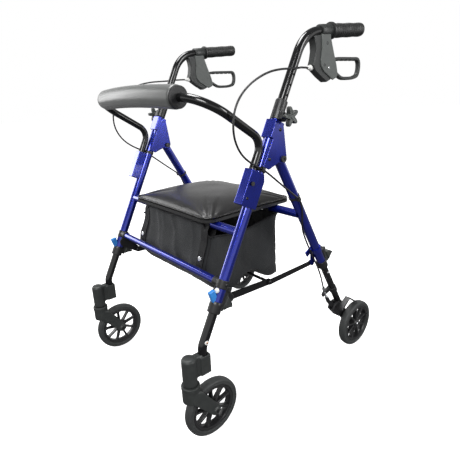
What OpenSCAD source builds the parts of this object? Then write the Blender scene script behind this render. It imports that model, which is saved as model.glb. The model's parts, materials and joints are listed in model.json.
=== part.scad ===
// Folding four-wheeled walker with seat, bag, loop brakes and a padded backrest.
// +Z is up and z = 0 is the floor. -Y is the front (direction of travel), +X is the user's left.

/* [Frame] */
// Half of the distance between the two front tubes, centre to centre
front_x = 255; // [250:1:262]
// Height of the lower end of the front tubes
front_z = 351.4; // [345:1:358]
// Distance from the origin forward to the lower end of the front tubes
front_y = -257.6; // [-262:1:-253]
// Length of the front tubes
front_len = 465; // [455:1:480]
// Backward lean of the front tubes, in degrees
lean_f = 26.6; // [25:0.1:28]
// Outer diameter of the blue frame tubes
frame_d = 25.4; // [25:0.1:26]
// Outer diameter of the lower crossbar
cross_d = 19; // [16:1:22]
// Outer diameter of the two seat bars
seat_bar_d = 22; // [19:1:24]
// Height of the lower crossbar
cross_z = 393; // [388:1:400]
// Height of both seat bars
seat_bar_z = 504; // [500:1:510]

/* [Fold] */
// Forward position of the fold pivot
hinge_y = -51; // [-53:1:-49]
// Height of the fold pivot
hinge_z = 660; // [656:1:664]
// Backward lean of the rear legs, in degrees
lean_r = 30; // [29.5:0.1:30.5]
// Length of the blue part of a rear leg below the pivot
rear_len = 374; // [368:1:380]
// Height of the front pivot of the folding brace
brace_a_z = 337; // [334:1:340]
// Height of the middle pivot of the folding brace
brace_m_z = 331; // [328:1:334]

/* [Handles] */
// Outer diameter of the handle tube
handle_d = 22; // [21:0.1:22]
// Length of handle tube above the frame tube before it bends
handle_rise = 141; // [120:1:160]
// Radius of the handle bend
handle_bend_r = 90; // [70:1:95]
// Turn of the handle bend, in degrees
handle_turn = 58.4; // [56:0.1:62]
// Length of the straight tube after the bend
handle_end = 168; // [160:1:172]
// Outer diameter of the grip
grip_d = 33; // [30:1:36]

/* [Backrest] */
// Outer diameter of the backrest tube
back_d = 19; // [18:0.5:19]
// Rise of the backrest arch forward of the frame, in degrees
back_rise = 31.5; // [28:0.5:34]
// Length of each straight side run of the arch
back_side = 82; // [70:1:90]
// Diameter of the backrest pad
pad_d = 51; // [46:1:54]

/* [Seat and bag] */
// Seat width
seat_w = 360; // [340:5:370]
// Forward edge of the seat
seat_front = -218; // [-222:1:-214]
// Rear edge of the seat
seat_rear = 86; // [80:1:90]
// Bag width
bag_w = 332; // [300:2:340]

/* [Wheels] */
// Wheel diameter
wheel_d = 152; // [148:1:154]
// Wheel width
wheel_w = 25; // [22:1:26]
// Half of the distance between the two rear wheels, centre to centre
rear_wheel_x = 282; // [282:1:286]
// Distance from the origin back to the rear axles
rear_axle_y = 294.6; // [290:1:298]
// Distance from the origin forward to the caster axis
caster_y = -346; // [-350:1:-342]
// Trail of the caster wheels
trail = 56.5; // [52:0.5:60]

/* [Hidden] */

fr = frame_d/2;
gap = 0.05;
$fn = 48;
blue = [0.08, 0.15, 0.62];
black = [0.06, 0.06, 0.07];
grey = [0.28, 0.30, 0.30];
rubber = [0.17, 0.19, 0.19];
silver = [0.75, 0.76, 0.78];
handle_bore = handle_d/2 + gap;
rear_tube_d = 20;
rear_x = front_x;
wr = wheel_d/2;
brace_a_y = -201;
brace_m_y = -62.5;
brace_b_y = 112;
brace_b_z = 334.5;
leg_y = -306;
leg_i = front_z + (leg_y - front_y)/tan(lean_f);
// backrest
bx = 3;
by = -24;
back_bend_r = 35;
back_arc_r = 75;
back_x = front_x + bx;
u_f = [sin(lean_f), cos(lean_f)];
s0 = [front_y + by*u_f[1], front_z - by*u_f[0]];
bdir = [-cos(back_rise), sin(back_rise)];
bp0 = [-120, 715];
// s and k where the socket line and the arch plane meet
det = u_f[0]*(-bdir[1]) + bdir[0]*u_f[1];
s_c = ((bp0[0] - s0[0])*(-bdir[1]) + bdir[0]*(bp0[1] - s0[1]))/det;
k_c = (u_f[0]*(bp0[1] - s0[1]) - u_f[1]*(bp0[0] - s0[0]))/det;
back_turn = acos(u_f[0]*bdir[0] + u_f[1]*bdir[1]);
back_t = back_bend_r*tan(back_turn/2);
k_1 = k_c + back_t;
k_2 = k_1 + back_side;
mid_half = 7.5;
arc_turn = 90 - mid_half;
mid_c = back_x - back_arc_r + back_arc_r*cos(arc_turn);
mid_k = k_2 + back_arc_r*sin(arc_turn);
mid_r = mid_c/sin(mid_half);
pad_half = asin(172/mid_r);

// ---- helpers ----
module both() { children(); mirror([1, 0, 0]) children(); }
module side(s) { if (s > 0) children(); else mirror([1, 0, 0]) children(); }
// front tube frame: z runs up the tube from its lower end, -y faces forward
module on_front() { translate([front_x, front_y, front_z]) rotate([-lean_f, 0, 0]) children(); }
// rear leg frame: origin at the fold pivot, z runs up the leg, +y faces back
module on_rear() { translate([rear_x, hinge_y, hinge_z]) rotate([lean_r, 0, 0]) children(); }
// a flat shape drawn in (y, z), from x0 to x1
module ex_x(x0, x1) { translate([x0, 0, 0]) rotate([90, 0, 90]) linear_extrude(x1 - x0) children(); }
module rod_x(x0, x1, r) { translate([x0, 0, 0]) rotate([0, 90, 0]) cylinder(r=r, h=x1 - x0); }
// tube bend that starts along +z and turns towards +y
module bend_y(R, a, r) { translate([0, R, 0]) rotate([90, 0, -90]) rotate_extrude(angle=a) translate([R, 0]) circle(r=r); }
module after_bend(R, a) { translate([0, R*(1 - cos(a)), R*sin(a)]) rotate([-a, 0, 0]) children(); }
// outline of a belt round two circles
module link2d(a, ra, b, rb) {
    d = norm(b - a); t = atan2(b[1] - a[1], b[0] - a[0]); p = acos((ra - rb)/d);
    translate(a) circle(r=ra);
    translate(b) circle(r=rb);
    polygon([a + ra*[cos(t + p), sin(t + p)], a + ra*[cos(t - p), sin(t - p)],
             b + rb*[cos(t - p), sin(t - p)], b + rb*[cos(t + p), sin(t + p)]]);
}
module back_plane() { translate([0, bp0[0], bp0[1]]) rotate([180 - back_rise, 0, 0]) children(); }

// ---- front frame ----
module front_tubes() color(blue) both() on_front() difference() {
    cylinder(r=fr, h=front_len);
    translate([0, 0, -1]) cylinder(r=handle_bore, h=front_len + 2);
}
module bar(y, z, r) { rotate([0, 90, 0]) translate([-z, y, -front_x]) cylinder(r=r, h=2*front_x); }
module front_crossbars() color(blue) difference() {
    union() {
        bar(front_y + (cross_z - front_z)*tan(lean_f), cross_z, cross_d/2);
        bar(-180, seat_bar_z, seat_bar_d/2);
    }
    bar(front_y + (cross_z - front_z)*tan(lean_f), cross_z, cross_d/2 - 1.5);
    bar(-180, seat_bar_z, seat_bar_d/2 - 1.5);
    both() on_front() translate([0, 0, -20]) cylinder(r=fr + gap, h=front_len);
}
module gusset_plate2d() {
    polygon([[-7, 330], [-5, 400], [2, 442], [12, 442], [16, 436], [58, 377], [59, 364], [50, 357], [38, 356], [14, 330]]);
}
module gusset_plates() color(blue) both() difference() {
    union() {
        on_front() {
            ex_x(13.3, 16) gusset_plate2d();
            ex_x(-16, -13.3) gusset_plate2d();
            translate([-16, 6, 365]) cube([32, 9.5, 77]);
            translate([-16, -14.1, 398]) cube([32, 13, 44]);
        }
    }
    on_front() translate([0, 0, 300]) cylinder(r=fr + gap, h=200);
    on_front() translate([-13.3, -12.9, 300]) cube([26.6, 18.9, 200]);
    translate([rear_x - 30, hinge_y, hinge_z]) rod_x(0, 60, 4 + gap);
}
module hinge_bolts() color(black) both() translate([rear_x, hinge_y, hinge_z]) difference() {
    union() {
        rod_x(-19, 19.5, 4);
        rod_x(16.05, 21, 8);
        rod_x(-22, -16.05, 7);
    }
    rod_x(19, 22, 2.6, $fn=6);
}
module backrest_sockets() color(blue) both() on_front() difference() {
    union() {
        translate([bx - 13, -37, 232]) cube([26, 26, 84]);
        ex_x(13, 16) polygon([[-37, 232], [12, 232], [12, 300], [4, 316], [-37, 316]]);
    }
    translate([0, 0, 200]) cylinder(r=fr + gap, h=150);
    translate([bx, by, 200]) cylinder(r=back_d/2 + gap, h=150);
    translate([0, -25, 285]) rod_x(12, 20, 3 + gap);
}
module front_tube_collars() color(black) both() on_front() {
    // top collar with the clamp boss of the height knob
    difference() {
        union() {
            translate([0, 0, front_len]) cylinder(r=14.5, h=26);
            translate([0, 0, front_len - 22]) difference() {
                union() {
                    cylinder(r=14.5, h=22);
                    translate([8, -9, 0]) cube([16, 18, 20]);
                }
                translate([0, 0, -1]) cylinder(r=fr + gap, h=30);
            }
        }
        translate([0, 0, front_len - 1]) cylinder(r=handle_bore, h=30);
        translate([0, 0, front_len - 12]) rod_x(12, 28, 5 + gap);
    }
    // lower collar round the end of the tube, with two ears for the lock lever
    difference() {
        union() {
            translate([0, 0, -24]) cylinder(r=16, h=24);
            cylinder(r=15, h=5);
            translate([-9, 8, 29]) cube([4, 19, 14]);
            translate([5, 8, 29]) cube([4, 19, 14]);
            translate([-9, 8, -12]) cube([18, 8, 55]);
        }
        translate([0, 0, 0.05]) cylinder(r=fr + gap, h=60);
        translate([0, 0, -30]) cylinder(r=handle_bore, h=60);
        translate([0, 22, 36]) rod_x(-20, 20, 2.5 + gap);
    }
}
module frame_bumpers() color(black) both() on_front() difference() {
    translate([0, 13.5, 352]) rod_x(-12.5, 12.5, 11);
    translate([0, 0, 330]) cylinder(r=fr + gap, h=60);
    translate([-20, -20, 330]) cube([40, 26, 60]);
}
module front_brace_brackets() color(grey) both() {
    s_c = (cross_z - front_z)/cos(lean_f);
    difference() {
        union() {
            on_front() translate([0, 0, s_c - 11]) cylinder(r=fr + 1.6, h=22);
            ex_x(front_x - 16, front_x - 12.9) link2d([brace_a_y - 40, 372], 16, [brace_a_y, brace_a_z], 10);
            translate([0, front_y + (cross_z - front_z)*tan(lean_f), cross_z]) rod_x(front_x - 28, front_x - 8, cross_d/2 + 3);
        }
        on_front() translate([0, 0, s_c - 60]) cylinder(r=fr + gap, h=120);
        translate([0, front_y + (cross_z - front_z)*tan(lean_f), cross_z]) rod_x(200, front_x - 4, cross_d/2 + gap);
        on_front() translate([-9.3, 7.7, -20]) cube([18.6, 30, 63.3]);
    }
    translate([0, brace_a_y, brace_a_z]) {
        rod_x(front_x - 27, front_x - 12.9, 3.5);
        rod_x(front_x - 28, front_x - 25.4, 6.5);
    }
}
// band clip round a tube with an eye for the brake cable
module front_cable_clips() color(black) both() on_front() translate([0, 0, 320]) difference() {
    union() { cylinder(r=fr + 1.5, h=8); translate([10, -14, 0]) cube([14, 8, 8]); translate([18.6, -14, 4]) rotate([-90, 0, 0]) cylinder(r=6, h=8); }
    translate([0, 0, -1]) cylinder(r=fr + gap, h=10);
    translate([18.6, -15, 4]) rotate([-90, 0, 0]) cylinder(r=3.7, h=10);
}
module rear_cable_clips() color(black) both() on_rear() translate([0, 0, -125]) difference() {
    union() { cylinder(r=fr + 2, h=6); translate([10, -9, 0]) cube([8, 8, 6]); translate([19, -5, 0]) cylinder(r=6.2, h=6); }
    translate([0, 0, -1]) cylinder(r=fr + gap, h=10);
    translate([19, -5, -1]) cylinder(r=4.2, h=8);
}

module storage_bag() color(black) difference() {
    translate([0, 0, 0]) ex_x(-bag_w/2, bag_w/2) polygon([[-193, 487], [-193, 456], [-222, 410], [-222, 385], [-205, 340], [-178, 306], [-150, 298], [-112, 304], [-84, 336], [-62.5, 345], [-42, 336], [-20, 318], [4, 312], [26, 316], [22, 478]]);
    ex_x(-bag_w/2 + 2, bag_w/2 - 2) polygon([[-191, 489], [-191, 455.2], [-220, 409.2], [-220, 386], [-203, 342], [-177, 308.4], [-150, 300.2], [-112.6, 306.1], [-85, 338], [-62.5, 347], [-41, 338], [-19, 320], [4, 314], [24, 318], [20, 480]]);
}

// ---- rear frame ----
module rear_legs() color(blue) both() on_rear() difference() {
    union() {
        translate([0, 0, -rear_len]) cylinder(r=fr, h=rear_len + 8);
        translate([0, 0, 8]) intersection() { sphere(r=fr); cylinder(r=20, h=8); }
    }
    translate([0, 0, -rear_len - 1]) cylinder(r=rear_tube_d/2 + gap, h=rear_len - 20);
    rod_x(-20, 20, 4 + gap);
}
module rear_seat_bar() color(blue) difference() {
    bar(29, seat_bar_z, seat_bar_d/2);
    bar(29, seat_bar_z, seat_bar_d/2 - 1.5);
    both() on_rear() translate([0, 0, -300]) cylinder(r=fr + gap, h=300);
}
module rear_leg_collars() color(black) both() on_rear() difference() {
    union() {
        translate([0, 0, -rear_len - 20]) cylinder(r=15, h=20);
        translate([0, 0, -rear_len]) cylinder(r=14.5, h=6);
        translate([-9, 6, -rear_len - 8]) cube([18, 10, 51]);
        translate([-9, 8, -rear_len + 29]) cube([4, 19, 14]);
        translate([5, 8, -rear_len + 29]) cube([4, 19, 14]);
    }
    translate([0, 0, -rear_len + 0.05]) cylinder(r=fr + gap, h=60);
    translate([0, 0, -rear_len - 40]) cylinder(r=rear_tube_d/2 + gap, h=60);
    translate([0, 22, -rear_len + 36]) rod_x(-20, 20, 2.5 + gap);
}
module rear_brace_lugs() color(blue) both() {
    on_rear() translate([0, 0, -rear_len + 46]) difference() {
        union() { cylinder(r=fr + 2.2, h=16); translate([-15.9, -30, 0]) cube([4, 30, 16]); }
        translate([0, 0, -1]) cylinder(r=fr + gap, h=30);
    }
    ex_x(rear_x - 15.9, rear_x - 12.9) link2d([112, 378], 9, [brace_b_y, brace_b_z], 8);
    translate([0, brace_b_y, brace_b_z]) {
        rod_x(rear_x - 22.4, rear_x - 12.9, 3.5);
        rod_x(rear_x - 23.4, rear_x - 20, 6);
    }
}

// ---- folding brace ----
module brace_front_links() color(black) {
    both() difference() {
        ex_x(front_x - 25, front_x - 20.2) link2d([brace_a_y, brace_a_z], 9, [brace_m_y, brace_m_z], 8.5);
        translate([0, brace_a_y, brace_a_z]) rod_x(200, 260, 3.5 + gap);
    }
    translate([0, brace_m_y, brace_m_z]) rod_x(-front_x + 21, front_x - 21, 4);
}
module brace_rear_links() color(black) both() difference() {
    ex_x(front_x - 19.6, front_x - 16.4) link2d([brace_m_y, brace_m_z], 7.5, [brace_b_y, brace_b_z], 6.5);
    translate([0, brace_b_y, brace_b_z]) rod_x(200, 260, 3.5 + gap);
}

// ---- seat ----
module rounded_slab(y0, y1, w, r, z, h) {
    translate([0, 0, z]) linear_extrude(h) {
        translate([-w/2 + r, y0]) square([w - 2*r, y1 - y0]);
        translate([-w/2, y0 + r]) square([w, y1 - y0 - 2*r]);
        for (x = [-w/2 + r, w/2 - r], y = [y0 + r, y1 - r]) translate([x, y]) circle(r=r);
    }
}
module seat_board() color(black) difference() {
    union() {
        rounded_slab(seat_front, seat_rear, seat_w, 28, 516, 7);
        for (x = [-130, 102]) {
            translate([x, -180, seat_bar_z]) rod_x(0, 28, 15);
            translate([x, -192, seat_bar_z]) cube([28, 24, 13]);
            translate([x, 14, seat_bar_z + 9.3]) cube([28, 30, 3.7]);
        }
    }
    translate([0, -180, seat_bar_z]) rod_x(-200, 200, seat_bar_d/2 + gap);
    translate([0, 29, seat_bar_z]) rod_x(-200, 200, seat_bar_d/2 + 0.4);
}
module seat_pad() color(black) {
    rounded_slab(seat_front, seat_rear, seat_w, 28, 523, 14);
    rounded_slab(seat_front + 22, seat_rear - 22, seat_w - 44, 22, 537, 9);
    rounded_slab(seat_front + 56, seat_rear - 56, seat_w - 112, 40, 546, 7);
}

// ---- backrest ----
module arch(r) {
    both() {
        on_front() translate([bx, by, 238]) cylinder(r=r, h=s_c - back_t - 238);
        on_front() translate([bx, by, s_c - back_t]) rotate([0, 0, 180]) bend_y(back_bend_r, back_turn, r);
        back_plane() translate([back_x, k_1, 0]) rotate([-90, 0, 0]) cylinder(r=r, h=back_side);
        back_plane() translate([back_x - back_arc_r, k_2, 0]) rotate_extrude(angle=arc_turn) translate([back_arc_r, 0]) circle(r=r);
    }
    back_plane() translate([0, mid_k - mid_r*cos(mid_half), 0]) rotate([0, 0, 90 - mid_half]) rotate_extrude(angle=2*mid_half, $fn=96) translate([mid_r, 0]) circle(r=r, $fn=48);
}
module backrest_tube() color(black) arch(back_d/2);
module pad_arc(a0, a1, ro, ri) {
    back_plane() translate([0, mid_k - mid_r*cos(mid_half), 0]) rotate([0, 0, 90 + a0]) rotate_extrude(angle=a1 - a0, $fn=96) translate([mid_r, 0]) difference() { circle(r=ro, $fn=48); circle(r=ri, $fn=48); }
}
module backrest_pad() color(grey) pad_arc(-pad_half, pad_half, pad_d/2, back_d/2 + gap);
module backrest_end_caps() color(black) {
    pad_arc(pad_half + 0.01, pad_half + 0.3, pad_d/2 - 2, back_d/2 + gap);
    pad_arc(-pad_half - 0.3, -pad_half - 0.01, pad_d/2 - 2, back_d/2 + gap);
}
module backrest_button(s) color(black) side(s) on_front() translate([0, -25, 285]) {
    rod_x(15.6, 18.6, 3);
    rod_x(18.5, 20.5, 5);
}

// ---- handles ----
module handle_path(r, l0, l1) {
    translate([0, 0, l0]) cylinder(r=r, h=front_len + handle_rise - l0);
    translate([0, 0, front_len + handle_rise]) {
        bend_y(handle_bend_r, handle_turn, r);
        after_bend(handle_bend_r, handle_turn) cylinder(r=r, h=l1);
    }
}
module on_handle_end() { on_front() translate([0, 0, front_len + handle_rise]) after_bend(handle_bend_r, handle_turn) children(); }
module handle_tube(s) color(black) side(s) difference() {
    on_front() handle_path(handle_d/2, 305, handle_end);
    on_front() handle_path(handle_d/2 - 1.6, 304, handle_end + 1);
    for (i = [0:6]) on_front() translate([0, 0, front_len - 12 - 50 + i*25]) rotate([0, 90, 0]) cylinder(r=3.2, h=20);
}
module grip(s) color(rubber) side(s) on_handle_end() difference() {
    union() {
        translate([0, 0, 48]) cylinder(r=grip_d/2, h=124);
        translate([0, 0, 46]) cylinder(r=grip_d/2 + 3, h=5);
        translate([0, 0, 172]) intersection() { cylinder(r=grip_d/2, h=5); translate([0, 0, -22]) sphere(r=30); }
    }
    translate([0, 0, 40]) cylinder(r=handle_d/2 + gap, h=handle_end - 40 + 0.1);
}
// brake housing: outline in (y, z) behind the bend, hanging under the handle
hy = 118; hz = 862;
module housing2d() { polygon([[86, 934], [118, 937], [122, 924], [140, 887], [153, 852], [149, 840], [135, 834], [112, 834], [84, 856], [78, 866], [82, 884], [84, 905]]); }
module brake_housing(s) color(grey) side(s) difference() {
    union() {
        ex_x(front_x - 13, front_x + 13) housing2d();
        on_handle_end() translate([0, 0, 4]) cylinder(r=15.5, h=40);
        translate([0, 62, 862]) translate([front_x, 0, 0]) rotate([-90, 0, 0]) cylinder(r=5, h=20);
    }
    on_handle_end() translate([0, 0, -30]) cylinder(r=handle_d/2 + gap, h=110);
    on_front() translate([0, 0, front_len + handle_rise]) bend_y(handle_bend_r, handle_turn, handle_d/2 + 0.3);
    // slot for the lever
    ex_x(front_x - 8, front_x + 8) polygon([[102, 876], [102, 838], [126, 828], [160, 828], [170, 905], [130, 905]]);
    translate([front_x, hy, hz]) rod_x(-20, 20, 3 + gap);
    translate([front_x, 60, 862]) rotate([-90, 0, 0]) cylinder(r=2.6, h=12);
}
module brake_lever(s) color(grey) side(s) translate([front_x, 0, 0]) difference() {
    union() {
        ex_x(-6, 6) difference() {
            union() {
                link2d([hy, hz], 8, [150, 878], 9);
                link2d([hy, hz], 8, [165, 848], 7);
                polygon([[150, 887], [248, 891], [262, 886], [266, 874], [265, 850], [258, 840], [224, 834], [186, 834], [163, 842], [140, 860], [140, 880]]);
            }
            polygon([[160, 880], [244, 882], [254, 878], [257, 868], [256, 853], [250, 848], [222, 843], [190, 843], [170, 851], [160, 862]]);
            for (y = [176:18:230]) translate([y, 884.5 - 13.2]) circle(r=10.5);
        }
        translate([0, hy, hz]) rod_x(-12.6, 12.6, 3);
    }
}
module height_knob(s) color(grey) side(s) on_front() translate([0, 0, front_len - 12]) rotate([0, 90, 0]) {
    translate([0, 0, 14]) cylinder(r=5, h=20);
    difference() {
        translate([0, 0, 28]) cylinder(r=9, h=8);
        translate([0, 0, 27]) cylinder(r=2, h=1);
    }
    translate([0, 0, 35.5]) linear_extrude(12) {
        circle(r=11.5);
        for (i = [0:4]) rotate(i*72) { translate([16, 0]) circle(r=6.5); translate([0, -6]) square([16, 12]); }
    }
}

// ---- brake cables: one whole run from housing nut to brake bracket ----
cable_pts = [[255, 70, 862], [255, 56, 862], [258.5, 42, 862], [263.5, 26, 861.5], [269.5, 10, 861], [273, -10, 859], [274.5, -28, 856], [276, -64, 851], [278, -98, 844], [279, -130, 833],
    [279, -158, 818], [279, -180, 800], [279, -197, 778], [279, -204, 752], [278, -203, 726], [276.5, -195, 702], [275, -180, 682],
    [274, -160, 666], [273.6, -140, 655], [273.6, -121, 645], [273.6, -96, 628], [273.6, -64, 604], [274, -36, 583],
    [274, -14, 567], [274, 6, 551.5], [274, 15, 538], [272.5, 22, 520], [268.5, 28, 500], [262, 36, 476], [256, 48, 450],
    [252, 70, 412], [252, 88, 381], [252, 106, 350], [252, 124, 319], [252.5, 138, 290], [253.5, 147, 262], [254.5, 155, 237]];
function pt(i) = cable_pts[max(0, min(len(cable_pts) - 1, i))];
function unit(v) = v/norm(v);
function ring(i, r, n) = let(t = unit(pt(i + 1) - pt(i - 1)), a = unit(cross([1, 0, 0.2], t)), b = cross(t, a))
    [for (k = [0:n - 1]) pt(i) + r*(a*cos(360*k/n) + b*sin(360*k/n))];
module sweep_cable(r, n) {
    m = len(cable_pts);
    polyhedron(points = [for (i = [0:m - 1]) each ring(i, r, n)],
        faces = concat([[for (k = [0:n - 1]) n - 1 - k]],
            [for (i = [0:m - 2], k = [0:n - 1]) [i*n + k, i*n + (k + 1)%n, (i + 1)*n + (k + 1)%n, (i + 1)*n + k]],
            [[for (k = [0:n - 1]) (m - 1)*n + k]]));
}
module brake_cable(s) color(black) side(s) sweep_cable(2.3, 8);

// ---- front legs and casters ----
module front_leg_tube(s) color(black) side(s) translate([front_x, leg_y, leg_i]) difference() {
    union() {
        translate([0, 0, -62]) cylinder(r=handle_d/2, h=62);
        sphere(r=handle_d/2 + 0.3);
        rotate([-lean_f, 0, 0]) cylinder(r=handle_d/2, h=215);
    }
    rotate([-lean_f, 0, 0]) translate([0, 0, 16]) cylinder(r=handle_d/2 - 1.6, h=215);
    translate([0, 0, -63]) cylinder(r=handle_d/2 - 1.6, h=48);
}
module caster_mount(s) color(grey) side(s) translate([front_x, 0, 0]) difference() {
    union() {
        translate([0, caster_y, 174]) cylinder(r=17.5, h=66);
        translate([0, caster_y, 240]) cylinder(r=16, h=3);
        translate([-13, leg_y - 14, 187]) cube([26, 28, 50]);
        translate([-9, caster_y + 8, 187]) cube([18, 30, 54]);
    }
    translate([0, caster_y, 170]) cylinder(r=8 + gap, h=58);
    translate([0, leg_y, leg_i - 62.05]) cylinder(r=handle_d/2 + gap, h=80);
}
module caster_fork(s) color(grey) side(s) translate([front_x, 0, 0]) {
    difference() {
        union() {
            translate([0, caster_y, 162]) cylinder(r=22.5, h=10.5);
            translate([0, caster_y, 128]) cylinder(r=21.5, h=35);
            ex_x(-21.5, 21.5) link2d([caster_y + 8, 138], 17, [caster_y + trail, wr], 14);
        }
        translate([0, caster_y + trail, wr]) rod_x(-14.6, 14.6, wr + 4);
        ex_x(-14.6, 14.6) polygon([[caster_y + 18, 60], [caster_y + 18, 128], [caster_y + 100, 150], [caster_y + 100, 60]]);
    }
    translate([0, caster_y, 170]) cylinder(r=8, h=55);
    translate([0, caster_y + trail, wr]) { rod_x(-23, 23, 4); rod_x(21.4, 25, 7.5); rod_x(-25, -21.4, 7.5); }
}
// rim with spokes, hub and seat for the tyre
module rim_shape(w, hub_w) {
    difference() {
        rotate_extrude() polygon([[52, -w/2 + 3], [58, -w/2 + 1.5], [60, -w/2 + 4], [60, w/2 - 4], [58, w/2 - 1.5], [52, w/2 - 3], [53, 0]]);
    }
    difference() {
        union() {
            translate([0, 0, -hub_w/2]) cylinder(r=13, h=hub_w);
            for (i = [0:8]) rotate(i*40) translate([10, -3, -6]) cube([43.5, 6, 12]);
        }
        translate([0, 0, -20]) cylinder(r=4 + gap, h=40);
    }
}
module tyre_shape(w) rotate_extrude($fn=96) polygon([[60.05, -w/2 + 3.5], [62, -w/2], [72, -w/2 + 0.5], [75, -w/2 + 4], [wr, -w/2 + 8], [wr, w/2 - 8], [75, w/2 - 4], [72, w/2 - 0.5], [62, w/2], [60.05, w/2 - 3.5]]);
module at_front_wheel(s) { side(s) translate([front_x, caster_y + trail, wr]) rotate([0, 90, 0]) children(); }
module at_rear_wheel(s) { side(s) translate([rear_wheel_x, rear_axle_y, wr]) rotate([0, 90, 0]) children(); }
module front_rim(s) color(black) at_front_wheel(s) rim_shape(wheel_w, 28);
module front_tyre(s) color(rubber) at_front_wheel(s) tyre_shape(wheel_w);
module rear_rim(s) color(black) at_rear_wheel(s) rim_shape(wheel_w, 24);
module rear_tyre(s) color(rubber) at_rear_wheel(s) tyre_shape(wheel_w);

// ---- rear legs ----
rt_end = 652;
module rear_leg_tube(s) color(black) side(s) on_rear() difference() {
    translate([0, 0, -rt_end]) cylinder(r=rear_tube_d/2, h=rt_end - 230);
    translate([0, 0, -rt_end - 1]) cylinder(r=rear_tube_d/2 - 1.6, h=rt_end - 230 + 2);
}
piv = [208, 160];
module rear_axle_bracket(s) color(black) side(s) {
    difference() {
        union() {
            // sleeve on the leg with the axle boss
            on_rear() translate([0, 0, -668]) cylinder(r=12.4, h=94);
            ex_x(rear_x - 12, rear_x + 12) link2d([262, 118], 13, [rear_axle_y, wr], 12);
            // brake body in front of the leg
            ex_x(rear_x - 12, rear_x + 12) polygon([[194, 154], [226, 120], [244, 110], [262, 118], [236, 162], [222, 176], [206, 174], [198, 168]]);
            // clamp with the cable tab
            ex_x(rear_x - 5, rear_x + 2) polygon([[148, 222], [155, 230], [190, 244], [202, 232], [196, 212], [184, 222], [165, 216], [152, 212]]);
            on_rear() translate([0, 0, -512]) cylinder(r=12.4, h=20);
        }
        on_rear() translate([0, 0, -rt_end - 0.05]) cylinder(r=rear_tube_d/2 + gap, h=400);
        // slot for the brake arm
        ex_x(rear_x - 5.5, rear_x + 5.5) polygon([[180, 150], [190, 190], [214, 186], [218, 164], [212, 151], [200, 140]]);
        translate([rear_x, piv[0], piv[1]]) rod_x(-20, 20, 3 + gap);
    }
    translate([rear_x, rear_axle_y, wr]) { rod_x(11, 40, 4); rod_x(39.4, 44, 7); }
}
module brake_shoe(s) color(black) side(s) {
    ex_x(rear_x - 5, rear_x + 5) { link2d([piv[0], piv[1]], 7, [181, 187], 5); link2d([181, 187], 5, [171, 204], 4); }
    translate([rear_x, piv[0], piv[1]]) rod_x(-12.6, rear_wheel_x - rear_x + 9, 3);
    ex_x(rear_wheel_x - 9, rear_wheel_x + 9) { link2d([piv[0], piv[1]], 4.5, [246, 187], 1.8); link2d([246, 187], 1.8, [288, 156.6], 1.8); }
}

// ---- lock levers of the leg adjustment ----
module lever2d() { polygon([[25, 21], [29, 17], [43, 7], [49, -3], [36, -6], [25, -13]]); }
module lock_lever() {
    ex_x(-4.6, 4.6) link2d([22, 36], 5, [21.5, -14], 3.5);
    ex_x(-8, 8) lever2d();
    ex_x(-4, 4) polygon([[21, -12], [21, 28], [27, 17], [27, -10]]);
    translate([0, 22, 36]) rod_x(-9, 9, 2.5);
}
module front_lock_lever(s) color(grey) side(s) on_front() lock_lever();
module rear_lock_lever(s) color(grey) side(s) on_rear() translate([0, 0, -rear_len]) lock_lever();

front_tubes();
front_crossbars();
gusset_plates();
hinge_bolts();
backrest_sockets();
front_tube_collars();
frame_bumpers();
front_brace_brackets();
front_cable_clips();
storage_bag();
rear_legs();
rear_seat_bar();
rear_leg_collars();
rear_brace_lugs();
rear_cable_clips();
brace_front_links();
brace_rear_links();
seat_board();
seat_pad();
backrest_tube();
backrest_pad();
backrest_end_caps();
backrest_button(1);  // backrest_button_left
backrest_button(-1);  // backrest_button_right
handle_tube(1);  // handle_tube_left
handle_tube(-1);  // handle_tube_right
grip(1);  // grip_left
grip(-1);  // grip_right
brake_housing(1);  // brake_housing_left
brake_housing(-1);  // brake_housing_right
brake_lever(1);  // brake_lever_left
brake_lever(-1);  // brake_lever_right
height_knob(1);  // height_knob_left
height_knob(-1);  // height_knob_right
brake_cable(1);  // brake_cable_left
brake_cable(-1);  // brake_cable_right
front_leg_tube(1);  // front_leg_tube_left
front_leg_tube(-1);  // front_leg_tube_right
caster_mount(1);  // caster_mount_left
caster_mount(-1);  // caster_mount_right
caster_fork(1);  // caster_fork_left
caster_fork(-1);  // caster_fork_right
front_rim(1);  // front_rim_left
front_rim(-1);  // front_rim_right
front_tyre(1);  // front_tyre_left
front_tyre(-1);  // front_tyre_right
rear_leg_tube(1);  // rear_leg_tube_left
rear_leg_tube(-1);  // rear_leg_tube_right
rear_axle_bracket(1);  // rear_axle_bracket_left
rear_axle_bracket(-1);  // rear_axle_bracket_right
brake_shoe(1);  // brake_shoe_left
brake_shoe(-1);  // brake_shoe_right
rear_rim(1);  // rear_rim_left
rear_rim(-1);  // rear_rim_right
rear_tyre(1);  // rear_tyre_left
rear_tyre(-1);  // rear_tyre_right
front_lock_lever(1);  // front_lock_lever_left
front_lock_lever(-1);  // front_lock_lever_right
rear_lock_lever(1);  // rear_lock_lever_left
rear_lock_lever(-1);  // rear_lock_lever_right
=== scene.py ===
import bpy, bmesh, json, math
from mathutils import Vector, Matrix, noise

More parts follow.
